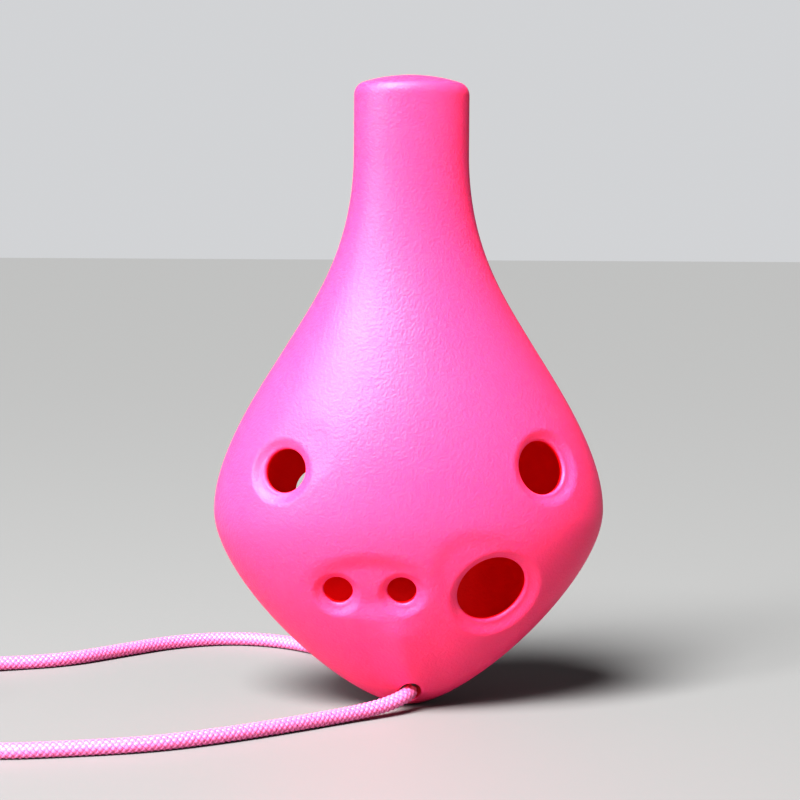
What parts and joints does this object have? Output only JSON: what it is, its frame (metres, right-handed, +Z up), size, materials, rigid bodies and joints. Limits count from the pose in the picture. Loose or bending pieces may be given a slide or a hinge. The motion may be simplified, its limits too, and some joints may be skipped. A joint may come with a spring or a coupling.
{
  "type": "ocarina",
  "caption": "Moulded vessel flute with five finger holes in front, two thumb holes, a window and a labium behind, a long neck mouthpiece and a braided neck cord through its tip.",
  "frame": {"origin": "under the tip, on the surface that the tip touches, on the body's long axis", "axes": "+Z up the body to the mouthpiece, +X across the body towards the large finger hole, -Y out of the finger-hole side and +Y out of the window side"},
  "size_m": [0.1561, 0.0964, 0.112],
  "materials": {
    "shell_plastic": "hot pink moulded plastic, satin with a fine spark texture, glossy along rims",
    "insert_plastic": "smooth pink moulded plastic",
    "braided_cord": "round braided satin nylon, pale pink",
    "tie": "soft white vinyl strip"
  },
  "bodies": {
    "root": {"front_shell": "shell_plastic", "rear_shell": "shell_plastic", "windway_block": "insert_plastic", "windway_roof": "insert_plastic", "neck_cord_front": "braided_cord", "neck_cord_rear": "braided_cord", "neck_cord_coil": "braided_cord", "cord_tie": "tie", "cord_knot": "braided_cord"}
  },
  "joints": []
}
